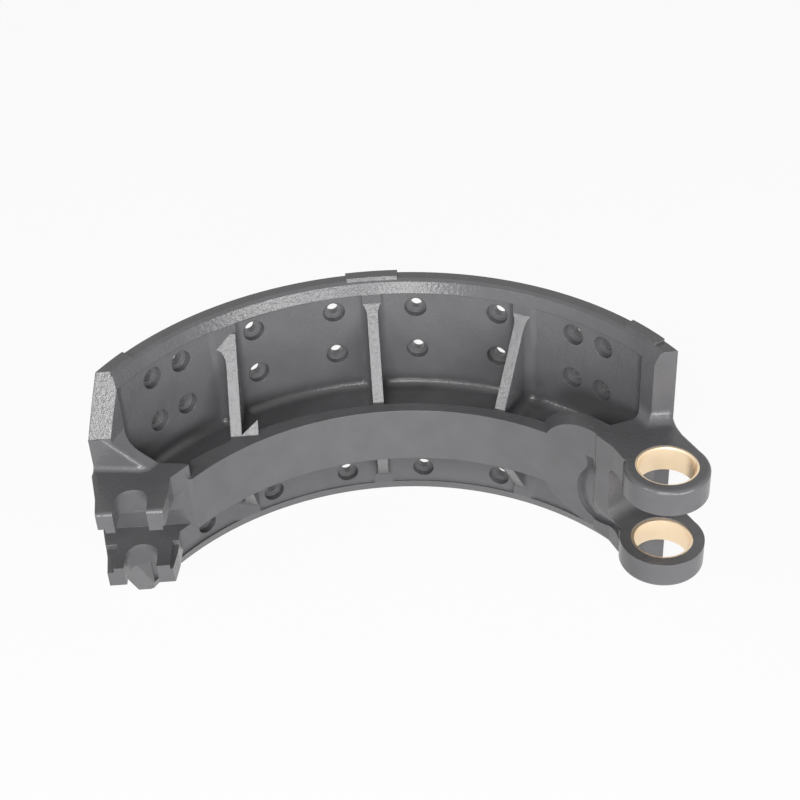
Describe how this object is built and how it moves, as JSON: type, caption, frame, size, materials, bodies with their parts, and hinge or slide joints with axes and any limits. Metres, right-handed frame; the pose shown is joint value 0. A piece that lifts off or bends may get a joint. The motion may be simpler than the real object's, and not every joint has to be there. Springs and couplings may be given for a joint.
{
  "type": "brake shoe",
  "caption": "Cast drum brake shoe with a ribbed web, a riveted lining table, a notched roller fork and a bushed anchor pin fork.",
  "frame": {"origin": "on the axis of the drum, half way across the width of the shoe", "axes": "+Z along the drum axis and the anchor pin, +Y from the axis to the middle of the lining table, +X towards the anchor eyes; the roller fork is at -X"},
  "size_m": [0.3626, 0.1799, 0.1723],
  "materials": {
    "casting": "satin dark grey paint over the cast skin",
    "bush": "machined bronze"
  },
  "bodies": {
    "root": {"shoe": "casting", "anchor_bush_upper": "bush", "anchor_bush_lower": "bush"}
  },
  "joints": []
}
